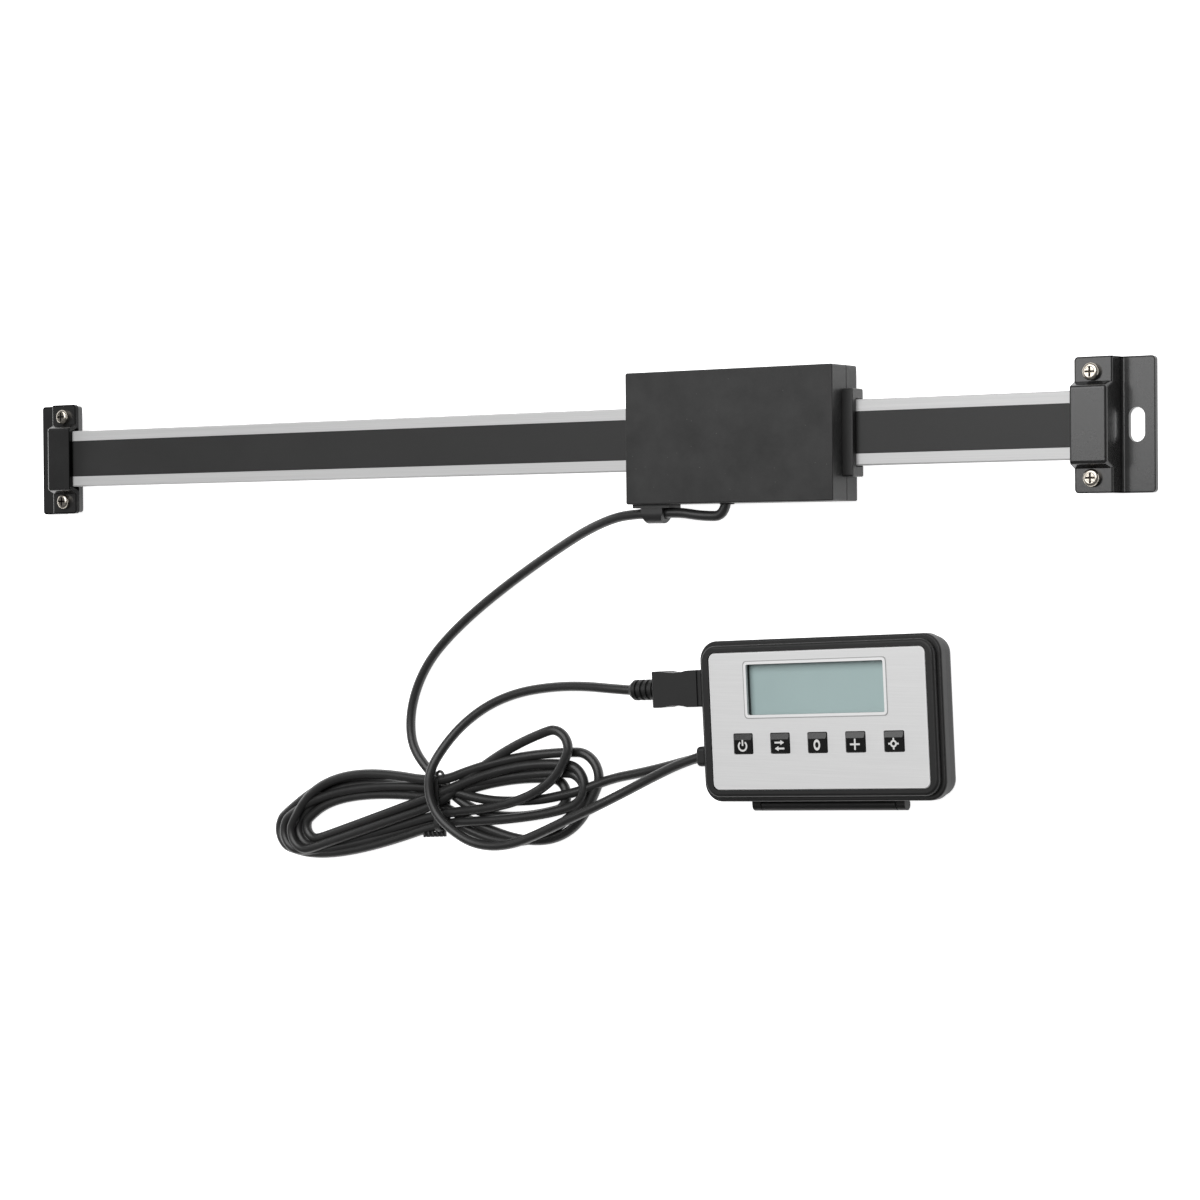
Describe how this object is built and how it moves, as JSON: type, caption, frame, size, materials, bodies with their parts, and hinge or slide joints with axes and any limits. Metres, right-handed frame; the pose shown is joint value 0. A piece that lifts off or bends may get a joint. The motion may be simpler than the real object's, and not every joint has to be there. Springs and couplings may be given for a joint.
{
  "type": "magnetic linear scale",
  "caption": "Flat beam with magnetic tape between slotted end brackets, a reader head that slides along it, and a table readout with buttons on a tied black cable.",
  "frame": {"origin": "middle of the footprint without the cable, on the surface that the object lies on", "axes": "+X along the beam towards the reader's end, +Y from the readout to the beam, +Z out of the front faces"},
  "size_m": [0.4388, 0.1596, 0.0178],
  "materials": {
    "beam_aluminium": "satin, drawn lengthways",
    "tape": "matt",
    "bracket_paint": "satin black paint",
    "nickel": "bright nickel",
    "reader_plastic": "fine-textured black",
    "wiper_plastic": "plain black",
    "slide_strip": "slippery white",
    "board": "solder-mask green",
    "chip": "moulded black",
    "insert_brass": "turned",
    "black_rubber": "matt black",
    "clip_plastic": "satin black",
    "cable_jacket": "half-gloss black jacket",
    "readout_plastic": "fine-textured black",
    "plate_silver": "satin silver",
    "clear": "clear",
    "lcd": "grey-green display",
    "button_black": "glossy black",
    "steel": "plain steel"
  },
  "bodies": {
    "reader_and_readout": {"reader_cover": "reader_plastic", "reader_base": "reader_plastic", "left_wiper": "wiper_plastic", "right_wiper": "wiper_plastic", "guide_strips": "slide_strip", "reader_board": "board", "sensor_block": "chip", "board_screws": "steel", "reader_screws": "steel", "mount_inserts": "insert_brass", "cable_grommet": "black_rubber", "cable_clip": "clip_plastic", "clip_pad": "black_rubber", "readout_front": "readout_plastic", "readout_rear": "readout_plastic", "face_plate": "plate_silver", "lcd_window": "clear", "lcd_panel": "lcd", "lcd_frame": "chip", "readout_board": "board", "button_switches": "chip", "usb_socket": "nickel", "case_screws": "steel", "coin_cell": "steel", "battery_contact": "insert_brass", "hinge_pins": "steel", "plug_overmould": "black_rubber", "plug_shell": "nickel", "cable_anchor": "black_rubber", "cable_lead": "cable_jacket", "cable_feed": "cable_jacket", "plug_lead": "cable_jacket", "cable_hank": "cable_jacket", "cable_tie": "clip_plastic"},
    "scale": {"beam": "beam_aluminium", "magnetic_tape": "tape", "left_bracket": "bracket_paint", "right_bracket": "bracket_paint", "left_clamp_plate": "bracket_paint", "right_clamp_plate": "bracket_paint", "bracket_screws": "nickel"},
    "stand": {"stand": "readout_plastic"},
    "battery_door": {"battery_door": "readout_plastic"},
    "button_1": {"button_1": "button_black"},
    "button_2": {"button_2": "button_black"},
    "button_3": {"button_3": "button_black"},
    "button_4": {"button_4": "button_black"},
    "button_5": {"button_5": "button_black"}
  },
  "joints": [
    {"name": "scale_slide", "type": "slide", "parent": "reader_and_readout", "child": "scale", "axis": [1, 0, 0], "range_m": [-0.07, 0.24]},
    {"name": "stand_hinge", "type": "hinge", "parent": "reader_and_readout", "child": "stand", "pos_m": [0.11233, -0.06559, 0.003], "axis": [-0.9991, -0.0426, 0], "range_deg": [0, 75]},
    {"name": "battery_door_turn", "type": "hinge", "parent": "reader_and_readout", "child": "battery_door", "pos_m": [0.11301, -0.04405, 0.0008], "axis": [0, 0, -1], "range_deg": [0, 60]},
    {"name": "button_1_press", "type": "slide", "parent": "reader_and_readout", "child": "button_1", "axis": [0, 0, -1], "range_m": [0, 0.0007], "stiffness_N_per_m": 400},
    {"name": "button_2_press", "type": "slide", "parent": "reader_and_readout", "child": "button_2", "axis": [0, 0, -1], "range_m": [0, 0.0007], "stiffness_N_per_m": 400},
    {"name": "button_3_press", "type": "slide", "parent": "reader_and_readout", "child": "button_3", "axis": [0, 0, -1], "range_m": [0, 0.0007], "stiffness_N_per_m": 400},
    {"name": "button_4_press", "type": "slide", "parent": "reader_and_readout", "child": "button_4", "axis": [0, 0, -1], "range_m": [0, 0.0007], "stiffness_N_per_m": 400},
    {"name": "button_5_press", "type": "slide", "parent": "reader_and_readout", "child": "button_5", "axis": [0, 0, -1], "range_m": [0, 0.0007], "stiffness_N_per_m": 400}
  ]
}
